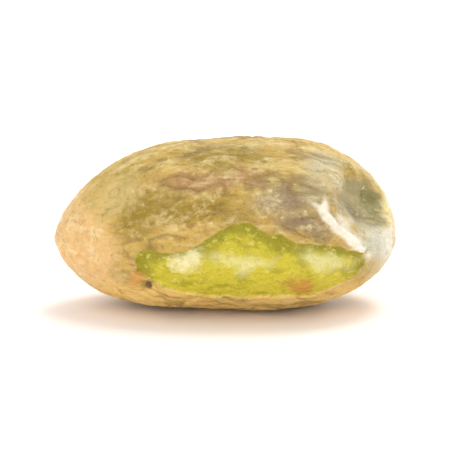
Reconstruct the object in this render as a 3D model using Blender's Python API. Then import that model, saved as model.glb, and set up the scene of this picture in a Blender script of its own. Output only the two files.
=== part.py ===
# A shelled pistachio kernel, lying on its side, in one piece.
#
# The kernel's long axis is X: its pointed tip is at -X and its round end at +X.
# Its better side faces -Y. It rests at z = 0 on a small worn flat under its
# weight, and the middle of its box is at x = y = 0.
#
# The surface is a UV sphere whose points are moved by a formula. A point has a
# station, 0 at the tip and 1 at the round end, and a turn, 0 at the top and a
# quarter turn at the side that faces -Y. The body's four half widths at a
# station set where the point lies, and the relief then moves it along its
# normal: ridges, wrinkles, the seam, the dish and the patch of bare flesh.

from math import atan2, cos, exp, hypot, pi, radians, sin

import bmesh
import bpy
from mathutils import Vector

MM = 0.001

# The whole kernel, in millimetres.
LENGTH = 16.6
WIDTH = 9.5
HEIGHT = 8.25

# The axis line from tip to round end divides the height and the width.
AXIS_SHARE_OF_HEIGHT = 0.415
AXIS_SHARE_OF_WIDTH = 0.51
ROUNDNESS = 2.15  # 2 is an ellipse, more is squarer

# Each side swells from the tip to its peak station and back to the round end:
# peak station, fullness and power towards the tip, then towards the round end.
TOP_SWELL = (0.57, 2.95, 0.70, 2.80, 0.50)
BOTTOM_SWELL = (0.52, 3.50, 0.64, 2.85, 0.59)
FRONT_SWELL = (0.58, 2.40, 0.68, 2.60, 0.52)
BACK_SWELL = (0.54, 2.40, 0.67, 2.70, 0.54)

# The rest spot is where this depth of the underside is worn flat.
REST_SPOT_DEPTH = 0.13

# Two long humps give the body soft shoulders instead of a true oval.
SHOULDER_HEIGHT = 0.13
SHOULDER_TURNS = (radians(38), radians(208))
SHOULDER_SPREAD = radians(26)

# The keel is a low ridge that runs along the top, just behind the crest.
KEEL_HEIGHT = 0.12
KEEL_TURN = radians(-24)
KEEL_SPREAD = radians(8)

# The seam between the two seed leaves is a groove along the back.
SEAM_DEPTH = 0.22
SEAM_TURN = radians(262)
SEAM_SPREAD = radians(7)
SEAM_SWAY = radians(6)

# Lengthwise wrinkles of the dried skin.
WRINKLE_HEIGHT = 0.05
WRINKLES_AROUND = 13
WRINKLE_SWAY = 1.4

# Marks on the front are placed by x and by how high above the floor they show
# from this angle above it.
SIGHT_ANGLE = radians(13)

# The patch of bare flesh, low on the front, lies a skin's depth below. Its upper
# edge is a line with a peak and a broad shoulder, and its lower edge a trough.
PATCH_DEPTH = 0.12
PATCH_TIP_END = -4.4
PATCH_ROUND_END = 6.8
PATCH_EDGE = 0.45
PATCH_UPPER = 2.55
PATCH_PEAK = (1.0, 0.75, 1.35)  # rise, x and spread
PATCH_SHOULDER = (0.45, 2.2, 3.2)  # rise, x and spread
PATCH_LOWER = 0.30
PATCH_TROUGH = (1.35, 1.0, 5.6)  # rise at its ends, x and half length

# The dish at the round end, with a raised fold of skin along its near side.
# Angles in the dish are 0 towards the round end and a quarter turn upwards.
DISH_STATION = 0.922
DISH_TURN = radians(44)
DISH_RADIUS = 2.4
DISH_TALLNESS = 0.95
DISH_CORNERS = 1.5  # 2 is a round dish, less gives it corners
DISH_DEPTH = 0.85
FOLD_PLACE = 1.18  # in radii from the dish's middle
FOLD_HEIGHT = 0.20
FOLD_SPREAD = 0.50
FOLD_MIDDLE = radians(205)
FOLD_SWEEP = radians(72)

# A small pit in the skin below the patch's tip end.
PIT_X = -3.69
PIT_SEEN_HEIGHT = 0.80
PIT_RADIUS = 0.36
PIT_DEPTH = 0.20

# Rings from tip to round end, and points round each ring.
RINGS = 58
POINTS_ROUND = 76


def swell(station, peak, tip_fullness, tip_power, end_fullness, end_power):
    """Share of a full half width at a station: 0 at both ends, 1 at the peak."""
    if station < peak:
        away = (peak - station) / peak
        return max(0.0, 1.0 - away**tip_fullness) ** tip_power
    away = (station - peak) / (1.0 - peak)
    return max(0.0, 1.0 - away**end_fullness) ** end_power


def signed_power(value, power):
    """Raises a value to a power and keeps its sign."""
    size = abs(value) ** power
    return size if value >= 0.0 else -size


def bump(distance, spread):
    """A smooth bump, 1 in its middle and near 0 two spreads away."""
    return exp(-((distance / spread) ** 2))


def ramp(value, low, high):
    """A smooth step from 0 at low to 1 at high."""
    share = min(1.0, max(0.0, (value - low) / (high - low)))
    return share * share * (3.0 - 2.0 * share)


def turn_between(turn, other):
    """The angle from one turn to another, between minus and plus half a turn."""
    return (turn - other + pi) % (2.0 * pi) - pi


def body_point(station, turn):
    """A point of the smooth body, in millimetres, with its bottom near z = 0."""
    axis_height = HEIGHT * AXIS_SHARE_OF_HEIGHT
    front_width = WIDTH * AXIS_SHARE_OF_WIDTH
    up = (HEIGHT - axis_height) * swell(station, *TOP_SWELL)
    down = axis_height * swell(station, *BOTTOM_SWELL)
    front = front_width * swell(station, *FRONT_SWELL)
    back = (WIDTH - front_width) * swell(station, *BACK_SWELL)
    power = 2.0 / ROUNDNESS
    rise = signed_power(cos(turn), power)
    reach = signed_power(sin(turn), power)
    x = LENGTH * (station - 0.5)
    y = -reach * (front if reach > 0.0 else back)
    z = axis_height + rise * (up if rise > 0.0 else down)
    return x, y, z


def shoulders(station, turn):
    """Two long soft humps."""
    height = 0.0
    for middle in SHOULDER_TURNS:
        height += bump(turn_between(turn, middle), SHOULDER_SPREAD)
    return SHOULDER_HEIGHT * height * sin(pi * station)


def keel(station, turn):
    """A low ridge along the top that fades before both ends."""
    sway = radians(6) * sin(3.0 * pi * station)
    across = bump(turn_between(turn, KEEL_TURN + sway), KEEL_SPREAD)
    return KEEL_HEIGHT * across * sin(pi * station) ** 0.8


def seam(station, turn):
    """The groove between the seed leaves, open along the back."""
    sway = SEAM_SWAY * sin(2.4 * pi * station + 0.6)
    across = bump(turn_between(turn, SEAM_TURN + sway), SEAM_SPREAD)
    along = ramp(station, 0.06, 0.30) * (1.0 - ramp(station, 0.90, 0.99))
    return -SEAM_DEPTH * across * along


def wrinkles(station, turn):
    """Lengthwise wrinkles that wander and come and go."""
    wander = WRINKLE_SWAY * sin(2.0 * pi * station + 2.0 * sin(turn))
    wave = sin(WRINKLES_AROUND * turn + wander)
    second = sin((WRINKLES_AROUND - 6) * turn - 1.7 * wander + 9.0 * station)
    calm = 0.55 + 0.45 * sin(3.0 * turn + 7.0 * station)
    return WRINKLE_HEIGHT * (wave * calm + 0.6 * second) * sin(pi * station)


def seen_height(point):
    """How high above the floor a point of the front shows."""
    height = point[2] - REST_SPOT_DEPTH
    return height * cos(SIGHT_ANGLE) + point[1] * sin(SIGHT_ANGLE)


def patch_share(point):
    """1 inside the patch of bare flesh and 0 outside it."""
    x = point[0]
    if point[1] > -0.4:
        return 0.0
    seen = seen_height(point)
    upper = PATCH_UPPER
    for rise, middle, spread in (PATCH_PEAK, PATCH_SHOULDER):
        upper += rise * bump(x - middle, spread)
    rise, middle, half_length = PATCH_TROUGH
    lower = PATCH_LOWER + rise * abs((x - middle) / half_length) ** 3
    inside = min(upper - seen, seen - lower, x - PATCH_TIP_END, PATCH_ROUND_END - x)
    return ramp(inside, 0.0, PATCH_EDGE)


def dish_frame():
    """The dish's middle, and its directions along the skin: outwards and up."""
    step = 0.001
    middle = Vector(body_point(DISH_STATION, DISH_TURN))
    along = Vector(body_point(DISH_STATION + step, DISH_TURN)) - middle
    around = Vector(body_point(DISH_STATION, DISH_TURN + step)) - middle
    normal = around.cross(along).normalized()
    if normal.x < 0.0:
        normal.negate()
    upward = (Vector((0.0, 0.0, 1.0)) - normal * normal.z).normalized()
    outward = upward.cross(normal).normalized()
    return middle, outward, upward, normal


def dish(point, frame):
    """The hollow at the round end and the fold of skin beside it."""
    middle, outward, upward, normal = frame
    away = Vector(point) - middle
    across = away.dot(outward)
    rise = away.dot(upward) / DISH_TALLNESS
    near = ramp(away.dot(normal), -3.2, -1.6)
    corners = abs(across) ** DISH_CORNERS + abs(rise) ** DISH_CORNERS
    distance = corners ** (1.0 / DISH_CORNERS)
    hollow = 1.0 - ramp(distance, 0.35 * DISH_RADIUS, DISH_RADIUS)
    fold = bump(distance - FOLD_PLACE * DISH_RADIUS, FOLD_SPREAD)
    aside = abs(turn_between(atan2(rise, across), FOLD_MIDDLE))
    fold *= 1.0 - ramp(aside, 0.35 * FOLD_SWEEP, FOLD_SWEEP)
    return near * (FOLD_HEIGHT * fold - DISH_DEPTH * hollow)


def pit(point):
    """A small pit in the skin of the front."""
    if point[1] > 0.0:
        return 0.0
    distance = hypot(point[0] - PIT_X, seen_height(point) - PIT_SEEN_HEIGHT)
    return -PIT_DEPTH * bump(distance, PIT_RADIUS)


def relief(station, turn, point, dish_place):
    """How far a point of the body moves out along its normal, in millimetres."""
    bare = patch_share(point)
    height = shoulders(station, turn)
    height += keel(station, turn)
    height += seam(station, turn)
    height += wrinkles(station, turn) * (1.0 - 0.5 * bare)
    height -= PATCH_DEPTH * bare
    height += dish(point, dish_place)
    height += pit(point)
    return height


def split_faces(kernel, places, dish_place):
    """Splits each four-sided face along the diagonal that keeps closer to the skin."""
    place_of = {vert: (station, turn) for vert, station, turn in places}
    for face in [face for face in kernel.faces if len(face.verts) == 4]:
        corners = list(face.verts)
        first_turn = place_of[corners[0]][1]
        station = sum(place_of[corner][0] for corner in corners) / 4
        aside = sum(turn_between(place_of[corner][1], first_turn) for corner in corners) / 4
        turn = first_turn + aside
        smooth = body_point(station, turn)
        lift = face.normal * relief(station, turn, smooth, dish_place)
        middle = Vector(smooth) + lift
        one = (corners[0].co + corners[2].co) / 2 - middle
        other = (corners[1].co + corners[3].co) / 2 - middle
        start = 0 if one.length < other.length else 1
        bmesh.utils.face_split(face, corners[start], corners[start + 2])


def body_mesh():
    """The kernel's skin as a closed bmesh, in millimetres, before it is set down."""
    kernel = bmesh.new()
    bmesh.ops.create_uvsphere(kernel, u_segments=POINTS_ROUND, v_segments=RINGS, radius=1.0)
    places = []
    for vert in kernel.verts:
        station = 0.5 * (1.0 + max(-1.0, min(1.0, vert.co.z)))
        turn = atan2(vert.co.y, vert.co.x)
        places.append((vert, station, turn))
    for vert, station, turn in places:
        vert.co = body_point(station, turn)
    bmesh.ops.recalc_face_normals(kernel, faces=kernel.faces)
    kernel.normal_update()
    dish_place = dish_frame()
    moves = []
    for vert, station, turn in places:
        height = relief(station, turn, tuple(vert.co), dish_place)
        moves.append((vert, vert.normal * height))
    for vert, move in moves:
        vert.co += move
    kernel.normal_update()
    split_faces(kernel, places, dish_place)
    return kernel


def set_down(kernel):
    """Wears the rest spot flat, and puts the box's middle over the origin."""
    lowest = min(vert.co.z for vert in kernel.verts)
    cut_height = lowest + REST_SPOT_DEPTH
    cut = bmesh.ops.bisect_plane(
        kernel,
        geom=kernel.verts[:] + kernel.edges[:] + kernel.faces[:],
        dist=0.0001,
        plane_co=(0.0, 0.0, cut_height),
        plane_no=(0.0, 0.0, -1.0),
        clear_outer=True,
    )
    rim = [item for item in cut["geom_cut"] if isinstance(item, bmesh.types.BMEdge)]
    bmesh.ops.contextual_create(kernel, geom=rim)
    bmesh.ops.recalc_face_normals(kernel, faces=kernel.faces)
    spans = []
    for axis in range(3):
        values = [vert.co[axis] for vert in kernel.verts]
        spans.append((min(values), max(values)))
    goals = (LENGTH, WIDTH, HEIGHT)
    for vert in kernel.verts:
        for axis, (low, high) in enumerate(spans):
            share = (vert.co[axis] - low) / (high - low)
            floor = 0.0 if axis == 2 else -0.5 * goals[axis]
            vert.co[axis] = floor + share * goals[axis]


def kernel_material():
    """Dried seed coat: tan olive, a little waxy."""
    material = bpy.data.materials.new("dried_seed_coat")
    material.use_nodes = True
    shader = material.node_tree.nodes["Principled BSDF"]
    shader.inputs["Base Color"].default_value = (0.52, 0.37, 0.12, 1.0)
    shader.inputs["Roughness"].default_value = 0.48
    shader.inputs["Metallic"].default_value = 0.0
    return material


def make_kernel():
    """The one object of the part."""
    kernel = body_mesh()
    set_down(kernel)
    for vert in kernel.verts:
        vert.co *= MM
    mesh = bpy.data.meshes.new("pistachio_kernel")
    kernel.to_mesh(mesh)
    kernel.free()
    mesh.shade_smooth()
    mesh.set_sharp_from_angle(angle=radians(50))
    mesh.materials.append(kernel_material())
    piece = bpy.data.objects.new("pistachio_kernel", mesh)
    bpy.context.scene.collection.objects.link(piece)
    return piece


for old in list(bpy.data.objects):
    bpy.data.objects.remove(old, do_unlink=True)

make_kernel()
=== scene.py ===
import math

import bpy
import numpy as np
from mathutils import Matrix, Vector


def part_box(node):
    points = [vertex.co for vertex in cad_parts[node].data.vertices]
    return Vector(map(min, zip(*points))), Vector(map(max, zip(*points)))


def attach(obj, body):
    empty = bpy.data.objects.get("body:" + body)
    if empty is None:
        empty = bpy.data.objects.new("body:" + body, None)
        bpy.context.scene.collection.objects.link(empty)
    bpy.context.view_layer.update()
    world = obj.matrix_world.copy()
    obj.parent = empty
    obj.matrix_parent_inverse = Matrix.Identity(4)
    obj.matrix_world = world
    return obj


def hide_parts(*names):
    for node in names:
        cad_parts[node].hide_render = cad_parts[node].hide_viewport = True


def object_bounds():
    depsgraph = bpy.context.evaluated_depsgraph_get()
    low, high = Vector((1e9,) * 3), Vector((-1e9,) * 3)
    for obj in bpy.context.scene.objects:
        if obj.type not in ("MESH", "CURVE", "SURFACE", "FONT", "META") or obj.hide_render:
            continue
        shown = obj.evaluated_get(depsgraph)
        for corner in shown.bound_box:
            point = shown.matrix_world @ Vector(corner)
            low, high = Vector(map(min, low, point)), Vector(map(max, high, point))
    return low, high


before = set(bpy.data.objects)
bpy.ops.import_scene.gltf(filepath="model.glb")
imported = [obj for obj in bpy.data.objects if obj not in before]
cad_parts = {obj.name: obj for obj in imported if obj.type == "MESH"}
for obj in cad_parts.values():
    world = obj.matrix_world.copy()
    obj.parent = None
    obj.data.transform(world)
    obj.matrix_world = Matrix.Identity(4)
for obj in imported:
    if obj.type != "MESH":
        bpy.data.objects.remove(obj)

# A shelled pistachio kernel on a pale floor. Its shape is worked out in millimetres
# and its mesh is in metres. +X runs from the tip to the round end, and the side with
# the large bare patch faces -Y.

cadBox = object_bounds()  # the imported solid's box, before anything is added
kernelNode = "pistachio_kernel"
mm = 0.001


# Camera
photoView = {
    "elevation": 13.0,  # degrees above the floor
    "distance": 0.26,  # metres, far enough for the flat look of a long lens
    "shareOfFrame": 0.76,  # the kernel's length as a share of the picture's width
    "aimHeight": 0.0040,
}


def makeCamera():
    # level across X, raised to the photo's angle and aimed at the kernel's middle
    length = cadBox[1][0] - cadBox[0][0]
    camera = bpy.data.cameras.new("longLens")
    camera.sensor_width = 36.0
    camera.lens = camera.sensor_width * photoView["distance"] * photoView["shareOfFrame"] / length
    camera.clip_start = 0.01
    camera.clip_end = 20.0
    holder = bpy.data.objects.new("photoCamera", camera)
    rise = math.radians(photoView["elevation"])
    away = photoView["distance"]
    holder.location = (0.0, -away * math.cos(rise), photoView["aimHeight"] + away * math.sin(rise))
    holder.rotation_euler = (math.radians(90.0) - rise, 0.0, 0.0)
    bpy.context.scene.collection.objects.link(holder)
    bpy.context.scene.camera = holder


makeCamera()
print("camera placed")


# Small tools for fields on the surface
def ramp(value, low, high):
    # smooth step from 0 at low to 1 at high: 3t² - 2t³
    share = np.clip((value - low) / (high - low), 0.0, 1.0)
    return share * share * (3.0 - 2.0 * share)


def bump(distance, spread):
    # bell curve, 1 in its middle and near 0 two spreads away
    return np.exp(-((distance / spread) ** 2))


def turnBetween(turn, other):
    # angle from one turn to another, between minus and plus half a turn
    return (turn - other + np.pi) % (2.0 * np.pi) - np.pi


def latticeNumber(cells, seed):
    # a repeatable number from 0 to 1 for each whole-number cell, by mixing its bits
    x, y, z = (cells[..., axis].astype(np.uint32) for axis in range(3))
    mixed = x * np.uint32(73856093) ^ y * np.uint32(19349663) ^ z * np.uint32(83492791)
    mixed = (mixed ^ np.uint32(seed * 7919 + 17)) * np.uint32(2654435761)
    mixed = (mixed ^ (mixed >> np.uint32(15))) * np.uint32(2246822519)
    mixed = mixed ^ (mixed >> np.uint32(13))
    return (mixed & np.uint32(0xFFFF)) / 65535.0


def softNoise(points, seed):
    # value noise from -1 to 1: every lattice corner has a number of its own, and a
    # point takes the mix of its eight corners, eased by 3t² - 2t³
    base = np.floor(points).astype(np.int64)
    part = points - base
    eased = part * part * (3.0 - 2.0 * part)
    total = np.zeros(points.shape[:-1])
    for corner in range(8):
        offset = np.array([corner & 1, corner >> 1 & 1, corner >> 2 & 1])
        weight = np.prod(np.where(offset == 1, eased, 1.0 - eased), axis=-1)
        total += weight * latticeNumber(base + offset, seed)
    return 2.0 * total - 1.0


# turns each finer layer of noise, so that the lattice doesn't show
octaveTurn = np.array([[0.36, 0.48, -0.80], [-0.80, 0.60, 0.00], [0.48, 0.64, 0.60]])


def layeredNoise(points, cell, seed, layers=3):
    # sum of noises, each at half the cell size and half the strength of the last; the
    # cell is in the points' own units, and every use has a seed of its own
    scaled = points / cell
    total = np.zeros(points.shape[:-1])
    strength = 1.0
    for layer in range(layers):
        total += strength * softNoise(scaled, seed + 31 * layer)
        scaled = 2.03 * scaled @ octaveTurn.T
        strength *= 0.5
    return total


# The kernel's body. A station is a share of its length, 0 at the tip and 1 at the round
# end, and a turn goes round it from the top towards the front.
body = {
    "axisHeight": 0.415,  # height of the line from tip to round end, as a share
    "frontShare": 0.51,  # share of the width in front of that line
    "roundness": 2.15,  # 2 is an ellipse, more is squarer
    # peak station, fullness and power towards the tip, then towards the round end
    "top": (0.57, 2.95, 0.70, 2.80, 0.50),
    "bottom": (0.52, 3.50, 0.64, 2.85, 0.59),
    "front": (0.58, 2.40, 0.68, 2.60, 0.52),
    "back": (0.54, 2.40, 0.67, 2.70, 0.54),
    "rings": 252,
    "round": 388,
    "restDepth": 0.13,  # how much of the underside is worn flat
}


def swell(station, peak, tipFullness, tipPower, endFullness, endPower):
    # share of a full half width: 1 - away^fullness, to a power, on each side of the peak
    toTip = np.clip((peak - station) / peak, 0.0, 1.0)
    toEnd = np.clip((station - peak) / (1.0 - peak), 0.0, 1.0)
    tipSide = np.clip(1.0 - toTip**tipFullness, 0.0, 1.0) ** tipPower
    endSide = np.clip(1.0 - toEnd**endFullness, 0.0, 1.0) ** endPower
    return np.where(station < peak, tipSide, endSide)


def bodyPoints(station, turn, size):
    # a squared-off ellipse at each station, whose four half widths swell on their own
    length, width, height = size
    axisHeight = height * body["axisHeight"]
    frontWidth = width * body["frontShare"]
    up = (height - axisHeight) * swell(station, *body["top"])
    down = axisHeight * swell(station, *body["bottom"])
    front = frontWidth * swell(station, *body["front"])
    back = (width - frontWidth) * swell(station, *body["back"])
    power = 2.0 / body["roundness"]
    rise = np.sign(np.cos(turn)) * np.abs(np.cos(turn)) ** power
    reach = np.sign(np.sin(turn)) * np.abs(np.sin(turn)) ** power
    x = length * (station - 0.5)
    y = -reach * np.where(reach > 0.0, front, back)
    z = axisHeight + rise * np.where(rise > 0.0, up, down)
    return np.stack([x, y, z], axis=-1)


def gridNormals(points):
    # cross product of the two directions of the grid, with the poles' given
    along = np.gradient(points, axis=0)
    around = (np.roll(points, -1, axis=1) - np.roll(points, 1, axis=1)) * 0.5
    normals = np.cross(around, along)
    length = np.linalg.norm(normals, axis=-1, keepdims=True)
    normals = normals / np.maximum(length, 1e-12)
    outward = points - np.array([0.0, 0.0, points[..., 2].mean()])
    if np.mean(np.sum(normals * outward, axis=-1)) < 0.0:
        normals = -normals
    normals[0] = (-1.0, 0.0, 0.0)
    normals[-1] = (1.0, 0.0, 0.0)
    return normals


# The kernel's relief: lengths in millimetres, and turns in degrees round the body, 0 at
# the top and 90 at the front. A place on the front is x from the middle and its seen
# height, which is how high it shows above the floor from the photo's viewpoint.
marks = {
    "shoulderHeight": 0.13,
    "shoulderTurns": (38.0, 208.0),
    "shoulderSpread": 26.0,
    "keelHeight": 0.12,
    "keelTurn": -24.0,
    "keelSpread": 8.0,
    "keelSway": 6.0,
    "seamDepth": 0.22,
    "seamTurn": 262.0,
    "seamSpread": 4.0,
    "seamSway": 6.0,
    "wrinkleHeight": 0.06,
    "wrinklesAround": 13,
    "wrinkleSway": 1.4,  # radians of their waves
    "lumpHeight": 0.085,
    "lumpCell": 3.2,
    "pillowHeight": 0.12,  # rounded pillows of dried skin, parted by narrow creases
    "pillowCell": (2.2, 0.85, 0.85),
    "creaseBend": 0.4,  # keeps the creases from running square
    "rippleHeight": 0.035,
    "rippleCell": (0.95, 0.40, 0.40),
    "grainHeight": 0.020,
    "grainCell": 0.26,
    "skinDepth": 0.10,  # thickness of skin that is missing on the bare flesh
    "skinEdge": 0.12,  # width over which the skin ends
    "lipHeight": 0.05,
    "patchTipEnd": -4.4,
    "patchRoundEnd": 6.8,
    "patchUpper": 2.55,
    "patchPeak": (1.0, 0.75, 1.35),  # rise, x and spread
    "patchShoulder": (0.45, 2.2, 3.2),  # rise, x and spread
    "patchLower": 0.30,
    "patchTrough": (1.35, 1.0, 5.6),  # rise at its ends, x and half length
    "patchFray": 0.22,
    "hiddenFray": 0.55,
    "dishStation": 0.922,
    "dishTurn": 44.0,
    "dishRadius": 2.4,
    "dishTallness": 0.95,
    "dishCorners": 1.5,  # 2 is a round dish, less gives it corners
    "dishDepth": 0.90,
    "pleatHeight": 0.05,  # small creases that run into the dish
    "pleatsAround": 11.0,
    "foldPlace": 1.18,  # in radii from the dish's middle
    "foldHeight": 0.24,
    "foldSpread": 0.26,
    "foldMiddle": 205.0,  # degrees round the dish, 0 on its far side and 90 at its top
    "foldSweep": 72.0,
    "upperArmFade": 0.75,  # how much the fold fades above the dish's middle
    "pitPlace": (-3.69, 0.80),
    "pitRadius": 0.22,
    "pitDepth": 0.25,
    "pitRimHeight": 0.05,
    "pitRimRadius": 0.55,
}

# Bare patches on the sides that the photo doesn't show: station, turn in degrees,
# half length and half width in millimetres
hiddenPatches = (
    (0.56, 292.0, 4.6, 1.25),
    (0.30, 236.0, 2.0, 0.85),
    (0.74, 232.0, 1.9, 0.75),
    (0.80, 338.0, 1.1, 0.42),
    (0.55, 168.0, 2.4, 0.60),
)

# Tinted areas of the front, some of them painted light and shade: x, seen height, half length, half
# height and tilt in degrees
tintedAreas = {
    "oliveBand": (
        (-0.4, 7.15, 3.2, 0.65, 2.0),
        (-4.2, 4.4, 1.3, 0.45, 35.0),
        (-2.0, 4.5, 2.4, 0.65, 10.0),
    ),
    "goldShoulder": ((-5.4, 5.0, 2.2, 1.1, 42.0),),
    "pinkBand": ((-0.8, 5.95, 3.2, 0.70, 4.0),),
    "mauveShade": ((2.9, 4.85, 2.0, 1.00, -10.0), (3.6, 3.9, 2.0, 0.80, -16.0)),
    "greySheen": (
        (4.6, 6.7, 1.3, 1.1, -25.0),
        (4.5, 5.5, 1.0, 1.2, 0.0),
        (5.3, 5.8, 0.45, 1.1, 10.0),
    ),
    "paleEnd": ((7.2, 2.8, 1.2, 1.1, 0.0), (7.2, 6.9, 1.4, 0.30, -50.0)),
    # painted rim light along the round end and the top edge
    "paintedRimLight": (
        (7.75, 5.1, 0.24, 1.6, 10.0),
        (4.6, 7.95, 2.0, 0.30, -12.0),
        (6.5, 7.25, 0.9, 0.26, -38.0),
    ),
    "oliveHollow": ((7.00, 5.10, 1.60, 0.46, -78.0),),
    # painted shade in the dish's lower part and at its lower end
    "paintedHollowShade": ((6.25, 4.50, 0.95, 0.42, -50.0), (7.35, 4.00, 0.40, 0.30, 0.0)),
    # painted wash of light on the lower round end
    "paintedLightWash": ((7.9, 2.8, 0.55, 1.0, 0.0),),
    "foldGlow": ((5.9, 3.65, 1.25, 0.50, -38.0), (4.6, 4.75, 0.45, 0.24, -10.0)),
    "orangeLip": ((3.6, 0.80, 1.25, 0.40, 4.0), (-4.1, 1.3, 0.6, 0.4, 40.0)),
    # painted highlight on the bare flesh
    "paintedHighlightSpots": ((-1.75, 2.1, 0.80, 0.50, 0.0),),
    "paleMiddle": ((0.9, 2.0, 1.9, 0.55, -4.0), (4.8, 2.1, 1.6, 0.65, -4.0)),
    "paleStreaks": ((2.4, 5.9, 0.9, 0.16, -14.0), (0.2, 4.2, 1.0, 0.20, 14.0)),
}
tintSway = 0.28  # how far noise moves the edges of the areas, in millimetres


def seenHeight(points):
    # how high a point shows above the floor from the photo's viewpoint
    tilt = math.radians(photoView["elevation"])
    return points[..., 2] * math.cos(tilt) + points[..., 1] * math.sin(tilt)


def tintFields(points):
    # each area is a bell over its own tilted oval, and a tint takes its strongest one;
    # noise first moves the place, so that no edge is a clean curve
    frontSide = ramp(0.5 * layeredNoise(points, 1.7, 95, 3) - points[..., 1], -1.0, 1.4)
    x = points[..., 0] + tintSway * layeredNoise(points, 0.9, 91, 3)
    seen = seenHeight(points) + tintSway * layeredNoise(points, 0.9, 97, 3)
    tints = {}
    for name, areas in tintedAreas.items():
        strongest = np.zeros_like(x)
        for middleX, middleSeen, halfLength, halfHeight, tilt in areas:
            lean = math.radians(tilt)
            along = (x - middleX) * math.cos(lean) + (seen - middleSeen) * math.sin(lean)
            across = (seen - middleSeen) * math.cos(lean) - (x - middleX) * math.sin(lean)
            oval = bump(np.hypot(along / halfLength, across / halfHeight), 1.0)
            strongest = np.maximum(strongest, oval)
        tints[name] = strongest * frontSide
    return tints


def patchDistance(points, station, turn, seen, size):
    # signed distance in millimetres from the edge of the bare flesh, above 0 inside: on
    # the front the upper edge is a line with a peak and a shoulder and the lower edge a
    # trough, elsewhere the patches are ovals, and noise frays them all
    x = points[..., 0]
    facesFront = points[..., 1] < -0.4
    farOff = -3.0
    topEdge = marks["patchUpper"]
    for rise, middle, spread in (marks["patchPeak"], marks["patchShoulder"]):
        topEdge = topEdge + rise * bump(x - middle, spread)
    rise, middle, halfLength = marks["patchTrough"]
    lowEdge = marks["patchLower"] + rise * np.abs((x - middle) / halfLength) ** 3
    inside = np.minimum(topEdge - seen, seen - lowEdge)
    fromEnds = np.minimum(x - marks["patchTipEnd"], marks["patchRoundEnd"] - x)
    inside = np.minimum(inside, 0.8 * fromEnds)
    front = np.where(facesFront, inside, farOff)
    front = front + marks["patchFray"] * layeredNoise(points, 0.9, 5, 3)
    hidden = np.full_like(front, farOff)
    for middleStation, middleTurn, halfLength, halfWidth in hiddenPatches:
        along = (station - middleStation) * size[0]
        across = turnBetween(turn, np.radians(middleTurn)) * 0.25 * (size[1] + size[2])
        away = np.hypot(along / halfLength, across / halfWidth)
        hidden = np.maximum(hidden, (1.0 - away) * halfWidth)
    hidden = hidden + marks["hiddenFray"] * layeredNoise(points, 1.5, 9, 3)
    return np.maximum(front, np.where(facesFront, farOff, hidden))


def dishPlane(size):
    # the dish's middle, and the plane that touches the body there: its normal and its
    # outward and upward directions
    station = np.array([marks["dishStation"], marks["dishStation"] + 0.001, marks["dishStation"]])
    turn = np.radians(np.array([marks["dishTurn"], marks["dishTurn"], marks["dishTurn"] + 0.05]))
    middle, nextAlong, nextAround = bodyPoints(station, turn, size)
    normal = np.cross(nextAround - middle, nextAlong - middle)
    normal = normal / np.linalg.norm(normal)
    normal = normal * np.sign(normal[0])
    upward = np.array([0.0, 0.0, 1.0]) - normal * normal[2]
    upward = upward / np.linalg.norm(upward)
    return middle, normal, np.cross(upward, normal), upward


def dishFields(points, size):
    # the hollow at the round end, the fold of skin along its near side and the pleats
    # that run into it, each a band of the distance from the dish's middle
    middle, normal, outward, upward = dishPlane(size)
    away = points - middle
    across = away @ outward
    rise = away @ upward / marks["dishTallness"]
    around = np.arctan2(rise, across)
    near = ramp(away @ normal, -3.2, -1.6)
    wobble = 0.16 * layeredNoise(points, 1.1, 21, 2)
    corners = np.abs(across) ** marks["dishCorners"] + np.abs(rise) ** marks["dishCorners"]
    distance = corners ** (1.0 / marks["dishCorners"]) + wobble
    hollow = near * (1.0 - ramp(distance, 0.35 * marks["dishRadius"], marks["dishRadius"]))

    fold = bump(distance - marks["foldPlace"] * marks["dishRadius"], marks["foldSpread"])
    aside = np.abs(turnBetween(around, np.radians(marks["foldMiddle"])))
    sweep = np.radians(marks["foldSweep"])
    fold = near * fold * (1.0 - ramp(aside, 0.35 * sweep, sweep))
    upperArm = ramp(np.arctan2(rise, -across), 0.1, 0.9)
    fold *= 1.0 - marks["upperArmFade"] * upperArm

    pleats = np.sin(marks["pleatsAround"] * around + 2.0 * layeredNoise(points, 1.4, 81, 1))
    pleats *= bump(distance - 0.8 * marks["dishRadius"], 0.5) * near
    return hollow, fold, pleats


# Each relief gives its height in millimetres and the fields that the colours follow
def broadRelief(points, station, turn, belly, bare):
    # shoulders, keel and seam are bells over the turn round the body, and the long
    # wrinkles are sines of it that wander along the body, all as in the solid
    height = np.zeros_like(station)
    for middle in marks["shoulderTurns"]:
        aside = turnBetween(turn, np.radians(middle))
        height += marks["shoulderHeight"] * bump(aside, np.radians(marks["shoulderSpread"])) * belly
    keelSway = np.radians(marks["keelSway"]) * np.sin(3.0 * np.pi * station)
    keelAside = turnBetween(turn, np.radians(marks["keelTurn"]) + keelSway)
    keel = bump(keelAside, np.radians(marks["keelSpread"]))
    height += marks["keelHeight"] * keel * np.maximum(belly, 0.0) ** 0.8
    seamSway = np.radians(marks["seamSway"]) * np.sin(2.4 * np.pi * station + 0.6)
    seamAside = turnBetween(turn, np.radians(marks["seamTurn"]) + seamSway)
    seam = bump(seamAside, np.radians(marks["seamSpread"]))
    seam *= ramp(station, 0.06, 0.30) * (1.0 - ramp(station, 0.90, 0.99))
    height -= marks["seamDepth"] * seam
    wander = marks["wrinkleSway"] * np.sin(2.0 * np.pi * station + 2.0 * np.sin(turn))
    wave = np.sin(marks["wrinklesAround"] * turn + wander)
    second = np.sin((marks["wrinklesAround"] - 6) * turn - 1.7 * wander + 9.0 * station)
    calm = 0.55 + 0.45 * np.sin(3.0 * turn + 7.0 * station)
    wrinkles = marks["wrinkleHeight"] * (wave * calm + 0.6 * second) * belly
    height += wrinkles * (1.0 - 0.5 * bare)
    broken = 0.5 + 0.5 * ramp(layeredNoise(points, 0.9, 89, 3), -0.7, 0.5)
    return height, {"seamLine": seam * broken}


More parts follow.
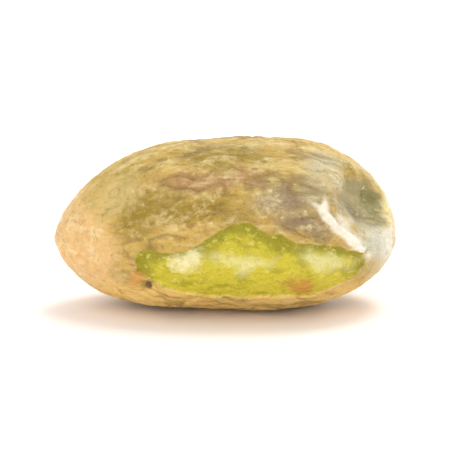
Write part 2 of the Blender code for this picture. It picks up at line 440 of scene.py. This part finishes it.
def fineRelief(points, belly, bare, hollow):
    # lumps, ripples, grain and pillows of dried skin. A pillow is n / (n + 0.22), with n
    # the size of a noise drawn out along X, so it is rounded and falls to 0 in creases.
    narrowing = np.maximum(belly, 0.08) ** 0.25
    tapered = points / np.stack([np.ones_like(belly), narrowing, narrowing], axis=-1)
    bend = marks["creaseBend"] * layeredNoise(points, 1.5, 47, 2)[..., None]
    folded = np.abs(layeredNoise(tapered / np.array(marks["pillowCell"]) + bend, 1.0, 51, 3))
    pillow = folded / (folded + 0.22)
    ripple = layeredNoise(tapered / np.array(marks["rippleCell"]), 1.0, 57, 2)
    grain = layeredNoise(points, marks["grainCell"], 63, 2)
    # 1 on wrinkled skin, less on the flesh, in the hollow and towards the ends
    rough = (1.0 - 0.75 * bare) * (1.0 - 0.8 * hollow) * (0.15 + 0.85 * ramp(belly, 0.15, 0.85))
    lumps = layeredNoise(points, marks["lumpCell"], 41, 2) * ramp(belly, 0.0, 0.5)
    height = marks["lumpHeight"] * lumps
    height += marks["pillowHeight"] * (pillow - 0.6) * rough
    height += marks["rippleHeight"] * ripple * (0.3 + 0.7 * rough)
    height += marks["grainHeight"] * grain * (1.0 - 0.7 * hollow)
    broken = 0.7 + 0.4 * ramp(layeredNoise(points, 1.3, 77, 2), -0.5, 0.5)
    # the pillow field places a painted highlight on the pillows' tops, and the crease field painted
    # shade in the creases
    return height, {
        "pillow": 0.55 + (pillow - 0.55 + 0.12 * ripple) * rough,
        "paintedCreaseShade": (1.0 - pillow) * rough * broken,
    }


def fleshRelief(points, seen, fromEdge, bare, hollow):
    # the bare flesh lies one skin lower, inside a raised, torn lip of skin
    lip = bump(fromEdge + 0.10, 0.10) * (1.0 - 0.7 * hollow)
    lip *= 0.6 + 0.4 * layeredNoise(points, 0.9, 71, 2)
    rim = (1.0 - ramp(fromEdge, 0.05, 1.05)) * ramp(seen, 1.0, 1.9)
    torn = ramp(layeredNoise(points, 1.2, 73, 2), -0.5, 0.7)
    return marks["lipHeight"] * lip - marks["skinDepth"] * bare, {
        "bareFlesh": fromEdge,
        "fleshRim": rim + 0.35 * ramp(-points[..., 0], 2.4, 4.0),
        "tornEdge": bump(fromEdge + 0.07, 0.08) * torn,
    }


def dishRelief(seen, hollow, fold, pleats):
    # the dish sinks, and its fold and pleats stand up; the dish's depth carries painted shade, and
    # the fold a painted highlight that fades upwards
    height = marks["foldHeight"] * fold - marks["dishDepth"] * hollow
    height += marks["pleatHeight"] * pleats
    return height, {
        "paintedDishShade": ramp(hollow, 0.05, 0.65),
        "foldHighlight": ramp(fold, -0.10, 1.00) * (1.0 - 0.8 * ramp(seen, 4.7, 5.4)),
    }


def pitRelief(points, seen, frontSide):
    # a small deep pit below the patch's tip end, in a low rim
    middleX, middleSeen = marks["pitPlace"]
    away = np.hypot(points[..., 0] - middleX, seen - middleSeen)
    pit = bump(away, marks["pitRadius"]) * frontSide
    rim = bump(away - marks["pitRimRadius"], 0.18) * frontSide
    return marks["pitRimHeight"] * rim - marks["pitDepth"] * pit, {"darkPit": pit}


# Where the coat's broad colours lie, in millimetres
coatPlaces = {
    "lipTop": 1.7,  # seen height of the gold lip's upper edge
    "tipFull": -8.6,  # x where the tip is all peach, and where that colour ends
    "tipEnd": -5.4,
    "capStart": 5.4,  # x where the round end's pale cap starts, and where it is full
    "capFull": 8.6,
    "backStart": 0.6,  # y where the back's darker skin starts, and where it is full
    "backFull": 3.4,
}


def coatFields(points, seen, frontSide, belly):
    # where the coat changes along the body, by ramps over places that noise moves: the
    # peach tip, the pale cap, the gold lip under the patch and the skin of the back. The gold
    # lip is lightened as painted bounce light from the floor, and the tip's underside takes it too
    x = points[..., 0]
    goldLipBounceLight = ramp(coatPlaces["lipTop"] - seen, 0.0, 1.5) * frontSide
    stray = x + 1.5 * (1.0 - frontSide) * layeredNoise(points, 2.6, 85, 3)
    tipLow = frontSide * (1.0 - ramp(seen, 2.5, 6.0))
    tipEnd = coatPlaces["tipEnd"] + 1.9 * tipLow + 0.8 * layeredNoise(points, 1.6, 83, 3)
    tip = 1.0 - ramp(stray, coatPlaces["tipFull"] + 2.2 * tipLow, tipEnd)
    backward = points[..., 1] + 1.1 * layeredNoise(points, 3.0, 87, 3)
    backSkin = ramp(backward, coatPlaces["backStart"], coatPlaces["backFull"])
    return {
        "goldLipBounceLight": goldLipBounceLight,
        "peachTip": np.maximum(tip, 0.9 * goldLipBounceLight * (1.0 - ramp(x, -5.2, -2.0))),
        "paleCap": ramp(stray, coatPlaces["capStart"], coatPlaces["capFull"]),
        "backSkin": backSkin * ramp(belly, 0.05, 0.45),
    }


def buildSurface():
    # the body's grid, moved along its normals by the sum of all the relief; the stations
    # lie closer together towards both ends, as 0.5 - 0.5 cos
    low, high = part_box(kernelNode)
    size = np.array([high[axis] - low[axis] for axis in range(3)]) / mm
    rings = body["rings"]
    stations = 0.5 - 0.5 * np.cos(np.pi * np.arange(rings + 1) / rings)
    turns = 2.0 * np.pi * np.arange(body["round"]) / body["round"]
    station, turn = np.meshgrid(stations, turns, indexing="ij")
    points = bodyPoints(station, turn, size)
    points[..., 2] -= points[..., 2].min() + body["restDepth"]

    seen = seenHeight(points)
    frontSide = ramp(-points[..., 1], 0.2, 1.4)
    belly = np.sin(np.pi * station)  # 0 at both ends and 1 halfway
    fromEdge = patchDistance(points, station, turn, seen, size)
    bare = ramp(fromEdge, -0.5 * marks["skinEdge"], 0.5 * marks["skinEdge"])
    hollow, fold, pleats = dishFields(points, size)
    reliefs = (
        broadRelief(points, station, turn, belly, bare),
        fineRelief(points, belly, bare, hollow),
        fleshRelief(points, seen, fromEdge, bare, hollow),
        dishRelief(seen, hollow, fold, pleats),
        pitRelief(points, seen, frontSide),
    )
    fields = coatFields(points, seen, frontSide, belly)
    total = np.zeros_like(station)
    for height, paint in reliefs:
        total += height
        fields.update(paint)
    moved = points + gridNormals(points) * total[..., None]
    fields.update(tintFields(moved))
    return moved, fields, low, high


def setDown(points, low, high):
    # wears the underside flat, then fits the surface to the solid's box
    floorHeight = points[..., 2].min() + body["restDepth"]
    points[..., 2] = np.maximum(points[..., 2], floorHeight)
    flat = points.reshape(-1, 3)
    least, most = flat.min(axis=0), flat.max(axis=0)
    goalLow = np.array(low) / mm
    goalHigh = np.array(high) / mm
    return goalLow + (points - least) / (most - least) * (goalHigh - goalLow)


def closedMesh(name, points, fields):
    # rings become rows of four-sided faces, and each pole one point with a fan
    rows, columns = points.shape[:2]
    middle = points[1:-1].reshape(-1, 3)
    vertices = np.vstack([points[0].mean(axis=0), middle, points[-1].mean(axis=0)])
    row = np.arange(rows - 3)[:, None] * columns
    column = np.arange(columns)
    nextColumn = (column + 1) % columns
    quads = np.stack(
        [
            1 + row + column,
            1 + row + columns + column,
            1 + row + columns + nextColumn,
            1 + row + nextColumn,
        ],
        axis=-1,
    ).reshape(-1, 4)
    last = len(vertices) - 1
    start = 1 + (rows - 3) * columns
    tipFan = np.stack([np.zeros_like(column), 1 + column, 1 + nextColumn], axis=-1)
    endFan = np.stack([np.full_like(column, last), start + nextColumn, start + column], axis=-1)
    faces = quads.tolist() + tipFan.tolist() + endFan.tolist()
    mesh = bpy.data.meshes.new(name)
    mesh.from_pydata((vertices * mm).tolist(), [], faces)
    for fieldName, values in fields.items():
        flat = np.concatenate([[values[0].mean()], values[1:-1].reshape(-1), [values[-1].mean()]])
        attribute = mesh.attributes.new(fieldName, "FLOAT", "POINT")
        attribute.data.foreach_set("value", flat.astype(np.float32))
    mesh.shade_smooth()
    mesh.validate()
    return mesh


def linear(hexColour):
    # sRGB hex to the linear values that a shader takes
    parts = [int(hexColour[place:place + 2], 16) / 255.0 for place in (1, 3, 5)]
    return tuple(
        part / 12.92 if part <= 0.04045 else ((part + 0.055) / 1.055) ** 2.4 for part in parts
    ) + (1.0,)


def addNode(tree, kind, settings=None, links=None):
    # adds a node, sets its properties and sockets, and joins its inputs; sockets that
    # share a name are given by number
    node = tree.nodes.new(kind)
    for name, value in (settings or {}).items():
        if isinstance(name, str) and hasattr(node, name):
            setattr(node, name, value)
        else:
            node.inputs[name].default_value = value
    for name, socket in (links or {}).items():
        tree.links.new(socket, node.inputs[name])
    return node


# Dried seed coat
skin = {
    "ground": "#c6a44e",
    "roughness": (0.40, 0.60),
    "tornWidth": (-0.03, 0.05),  # millimetres over which skin gives way to flesh
    "lightInside": 0.12,  # share of the light that goes in and comes out again
    "lightReach": 0.0006,  # metres
    "lightReachByColour": (1.0, 0.7, 0.25),
    "gloss": 0.42,
    "bloom": (0.04, 0.35, "#fff2cc"),  # weight, roughness and tint of the dry skin's sheen
    "gritRelief": 0.00007,  # metres
    "speckRelief": 0.0002,  # metres
    # patterns of the coat: size in millimetres, detail, roughness and stretch along X
    "patterns": {
        "blotch": (1.7, 4.0, 0.60, 1.6),
        "mottle": (0.60, 4.0, 0.62, 1.6),
        "speck": (0.28, 3.0, 0.60, 1.3),
        "grit": (0.13, 3.0, 0.60, 1.0),
        "streak": (0.30, 3.0, 0.60, 7.0),
    },
    # layers from the ground up: colour, field that places it, pattern that breaks it
    # up and by how much, where it starts and is full, and its most cover
    "layers": (
        ("#9c8530", None, "blotch", 1.0, -0.06, 0.12, 0.75),
        ("#b5834a", None, "mottle", 1.0, 0.02, 0.20, 0.35),
        ("#dcc584", None, "mottle", -1.0, 0.03, 0.17, 0.42),
        ("#93675a", "backSkin", "mottle", 1.5, 0.20, 1.10, 0.88),
        ("#dac182", "goldShoulder", "mottle", 1.8, 0.25, 1.15, 0.58),
        ("#94780a", "oliveBand", "mottle", 1.3, 0.12, 0.95, 0.92),
        ("#a67b4e", "pinkBand", "mottle", 1.0, 0.20, 1.00, 0.80),
        ("#8e7b5f", "mauveShade", "mottle", 1.2, 0.08, 0.95, 0.90),
        ("#b9ae8a", "greySheen", "mottle", 0.8, 0.18, 1.00, 0.84),
        ("#d4c592", "paleCap", "mottle", 1.2, 0.20, 1.00, 0.85),
        # painted shade in the dish, darkest where it is deepest
        ("#a89c72", "paintedDishShade", "mottle", 0.7, 0.15, 0.90, 0.92),
        # more painted shade low in the dish and at its lower end
        ("#8b7f5c", "paintedHollowShade", "mottle", 0.7, 0.12, 0.85, 0.85),
        ("#736d30", "oliveHollow", "mottle", 1.4, 0.12, 1.10, 0.86),
        ("#cbcdbb", "paleEnd", "mottle", 1.0, 0.15, 1.05, 0.88),
        # painted rim light, cream, along the round end and the top edge
        ("#efe39c", "paintedRimLight", "mottle", 1.1, 0.12, 1.05, 0.82),
        # painted wash of light, near white, on the lower round end
        ("#ebe9d8", "paintedLightWash", "mottle", 0.8, 0.20, 1.00, 0.85),
        ("#e8c082", "peachTip", "mottle", 1.9, 0.08, 1.05, 0.90),
        ("#f4deaa", "peachTip", "mottle", -2.4, 0.85, 1.30, 0.55),
        ("#cf9f5a", "peachTip", "streak", 1.9, 0.80, 1.30, 0.55),
        ("#d9c58c", None, "streak", 1.0, 0.06, 0.22, 0.40),
        # gold lip along the underside, lightened as painted bounce light from the floor
        ("#efca74", "goldLipBounceLight", "mottle", 0.7, 0.15, 0.95, 0.82),
        ("#c9b27c", "tornEdge", "speck", 0.8, 0.30, 1.00, 0.70),
        # painted highlight on the tops of the skin's pillows
        ("#e6d39a", "pillow", "speck", 1.1, 0.62, 1.05, 0.50),
        # painted shade in the skin's creases
        ("#846a33", "paintedCreaseShade", "mottle", 0.8, 0.33, 0.90, 0.58),
        ("#77602a", None, "speck", -1.0, 0.08, 0.24, 0.45),
        ("#77602a", None, "grit", 1.0, 0.10, 0.26, 0.45),
        ("#ecdfb2", None, "speck", 1.0, 0.11, 0.26, 0.48),
        ("#cd9440", "orangeLip", "speck", 0.9, 0.30, 1.00, 0.85),
        ("#e9e1cb", "foldGlow", "mottle", 1.0, 0.20, 1.05, 0.84),
        # painted highlight on the fold's ridge
        ("#fbf4e4", "foldHighlight", "speck", 0.8, 0.30, 1.15, 0.90),
        ("#dfcf9f", "paleStreaks", "speck", 1.6, 0.40, 1.30, 0.45),
        ("#6a4a2a", "seamLine", "speck", 0.4, 0.25, 0.80, 0.75),
        ("#5a3816", "darkPit", "speck", 0.3, 0.30, 0.80, 0.90),
    ),
}

# Bare flesh of the seed leaf
flesh = {
    "ground": "#c8bb2b",
    "layers": (
        ("#8c860a", "fleshRim", "mottle", 1.3, 0.10, 0.95, 0.92),
        ("#9c930e", None, "mottle", 1.0, -0.04, 0.14, 0.74),
        ("#ddd268", None, "speck", 1.0, 0.04, 0.18, 0.60),
        ("#e5df9c", "paleMiddle", "mottle", 1.6, 0.25, 1.10, 0.80),
        # painted highlight on the bare flesh
        ("#ece4b0", "paintedHighlightSpots", "speck", 1.0, 0.20, 1.05, 0.88),
        ("#c08a34", "orangeLip", "speck", 1.3, 0.25, 1.00, 0.88),
        # painted shade in the flesh's creases
        ("#8f8a1c", "paintedCreaseShade", "speck", 0.5, 0.45, 0.95, 0.35),
        ("#f1ebb0", None, "grit", 1.0, 0.12, 0.26, 0.32),
    ),
}


def coatPatterns(tree):
    # noises in the kernel's own coordinates, each scaled from its real size
    place = addNode(tree, "ShaderNodeTexCoord").outputs["Object"]
    patterns = {}
    for name, (size, detail, rough, stretch) in skin["patterns"].items():
        perMetre = 1.0 / (mm * size)
        scale = (perMetre / stretch, perMetre, perMetre)
        mapped = addNode(tree, "ShaderNodeMapping", {"Scale": scale}, {"Vector": place})
        noise = addNode(
            tree,
            "ShaderNodeTexNoise",
            {"Scale": 1.0, "Detail": detail, "Roughness": rough, "Distortion": 0.25},
            {"Vector": mapped.outputs["Vector"]},
        )
        patterns[name] = noise.outputs["Fac"]
    return patterns


def layeredColour(tree, coat, patterns):
    # lays each colour over the last, where its field plus its pattern's swing is high
    colour = None
    for paint, drivenBy, pattern, amount, low, high, most in coat["layers"]:
        driver = addNode(
            tree,
            "ShaderNodeMath",
            {"operation": "MULTIPLY_ADD", 1: amount, 2: 0.0},
            {0: patterns[pattern]},
        )
        if drivenBy:
            field = addNode(tree, "ShaderNodeAttribute", {"attribute_name": drivenBy})
            tree.links.new(field.outputs["Fac"], driver.inputs[2])
        shift = 0.5 * amount  # a pattern swings round 0.5
        share = addNode(
            tree,
            "ShaderNodeMapRange",
            {
                "interpolation_type": "SMOOTHSTEP",
                "From Min": low + shift,
                "From Max": high + shift,
                "To Max": most,
            },
            {"Value": driver.outputs[0]},
        )
        mixed = addNode(
            tree,
            "ShaderNodeMix",
            {"data_type": "RGBA", 6: linear(coat["ground"]), 7: linear(paint)},
            {0: share.outputs[0]},
        )
        if colour:
            tree.links.new(colour, mixed.inputs[6])
        colour = mixed.outputs[2]
    return colour


def kernelMaterial():
    # thin dried skin over waxy flesh: a matt tan and olive mottle, torn open on
    # yellow-green flesh that lets a little light in. Its colour also holds painted shade,
    # painted highlights, painted rim light and painted bounce light
    material = bpy.data.materials.new("driedSeedCoat")
    material.use_nodes = True
    tree = material.node_tree
    shader = tree.nodes["Principled BSDF"]
    patterns = coatPatterns(tree)

    torn = addNode(tree, "ShaderNodeAttribute", {"attribute_name": "bareFlesh"})
    tornLow, tornHigh = skin["tornWidth"]
    bare = addNode(
        tree,
        "ShaderNodeMapRange",
        {"interpolation_type": "SMOOTHSTEP", "From Min": tornLow, "From Max": tornHigh},
        {"Value": torn.outputs["Fac"]},
    )
    skinColour = layeredColour(tree, skin, patterns)
    fleshColour = layeredColour(tree, flesh, patterns)
    both = addNode(
        tree,
        "ShaderNodeMix",
        {"data_type": "RGBA"},
        {0: bare.outputs[0], 6: skinColour, 7: fleshColour},
    )
    tree.links.new(both.outputs[2], shader.inputs["Base Color"])
    waxy, dry = skin["roughness"]
    matt = addNode(
        tree,
        "ShaderNodeMapRange",
        {"From Min": 0.35, "From Max": 0.65, "To Min": waxy, "To Max": dry},
        {"Value": patterns["mottle"]},
    )
    tree.links.new(matt.outputs[0], shader.inputs["Roughness"])
    bloom, bloomRoughness, bloomTint = skin["bloom"]
    shader.inputs["Subsurface Weight"].default_value = skin["lightInside"]
    shader.inputs["Subsurface Radius"].default_value = skin["lightReachByColour"]
    shader.inputs["Subsurface Scale"].default_value = skin["lightReach"]
    shader.inputs["Specular IOR Level"].default_value = skin["gloss"]
    shader.inputs["Sheen Weight"].default_value = bloom
    shader.inputs["Sheen Roughness"].default_value = bloomRoughness
    shader.inputs["Sheen Tint"].default_value = linear(bloomTint)
    gritty = addNode(
        tree,
        "ShaderNodeBump",
        {"Strength": 1.0, "Distance": skin["gritRelief"]},
        {"Height": patterns["grit"]},
    )
    specked = addNode(
        tree,
        "ShaderNodeBump",
        {"Strength": 1.0, "Distance": skin["speckRelief"]},
        {"Height": patterns["speck"], "Normal": gritty.outputs["Normal"]},
    )
    tree.links.new(specked.outputs["Normal"], shader.inputs["Normal"])
    return material


points, fields, low, high = buildSurface()
points = setDown(points, low, high)
kernel = bpy.data.objects.new("kernelSurface", closedMesh("kernelSurface", points, fields))
bpy.context.scene.collection.objects.link(kernel)
kernel.data.materials.append(kernelMaterial())
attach(kernel, "root")
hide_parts(kernelNode)
print("kernel made", len(kernel.data.polygons), "faces")


# Floor and light
studio = {
    "floorColour": "#fdf4f0",  # over-lit, so that only its shadow shows the warm tint
    "floorSize": 3.0,
    "worldStrength": 0.86,
    # place, size in metres, power in watts, colour
    "keyLight": ((0.08, 0.10, 0.30), 0.16, 0.58, "#ffffff"),
    "rimLight": ((0.18, 0.26, 0.08), 0.16, 0.35, "#ffffff"),
    "frontLight": ((-0.16, -0.32, 0.14), 0.24, 0.45, "#fffdf8"),
}


def makeFloor():
    # pale warm board, matt, so that it shows only the kernel's soft shadow
    half = 0.5 * studio["floorSize"]
    under = -0.00001  # metres, so that the rest spot doesn't lie in the board's plane
    mesh = bpy.data.meshes.new("paleBoard")
    corners = [(-half, -half, under), (half, -half, under), (half, half, under), (-half, half, under)]
    mesh.from_pydata(corners, [], [(0, 1, 2, 3)])
    material = bpy.data.materials.new("matBoard")
    material.use_nodes = True
    shader = material.node_tree.nodes["Principled BSDF"]
    shader.inputs["Base Color"].default_value = linear(studio["floorColour"])
    shader.inputs["Roughness"].default_value = 0.9
    shader.inputs["Specular IOR Level"].default_value = 0.1
    mesh.materials.append(material)
    board = bpy.data.objects.new("paleBoard", mesh)
    bpy.context.scene.collection.objects.link(board)


def makeLight(name, place, size, power, colour):
    # square soft box that faces the kernel
    light = bpy.data.lights.new(name, "AREA")
    light.size = size
    light.energy = power
    light.color = linear(colour)[:3]
    holder = bpy.data.objects.new(name, light)
    holder.location = place
    x, y, z = place
    holder.rotation_euler = (math.atan2(math.hypot(x, y), z), 0.0, math.atan2(x, -y))
    bpy.context.scene.collection.objects.link(holder)


def makeWorld():
    world = bpy.data.worlds.new("whiteStudio")
    world.use_nodes = True
    background = world.node_tree.nodes["Background"]
    background.inputs["Color"].default_value = (1.0, 1.0, 1.0, 1.0)
    background.inputs["Strength"].default_value = studio["worldStrength"]
    bpy.context.scene.world = world


makeFloor()
makeLight("keySoftBox", *studio["keyLight"])
makeLight("rimSoftBox", *studio["rimLight"])
makeLight("frontSoftBox", *studio["frontLight"])
makeWorld()
bpy.context.scene.view_settings.view_transform = "Standard"
print("stage and lights made")
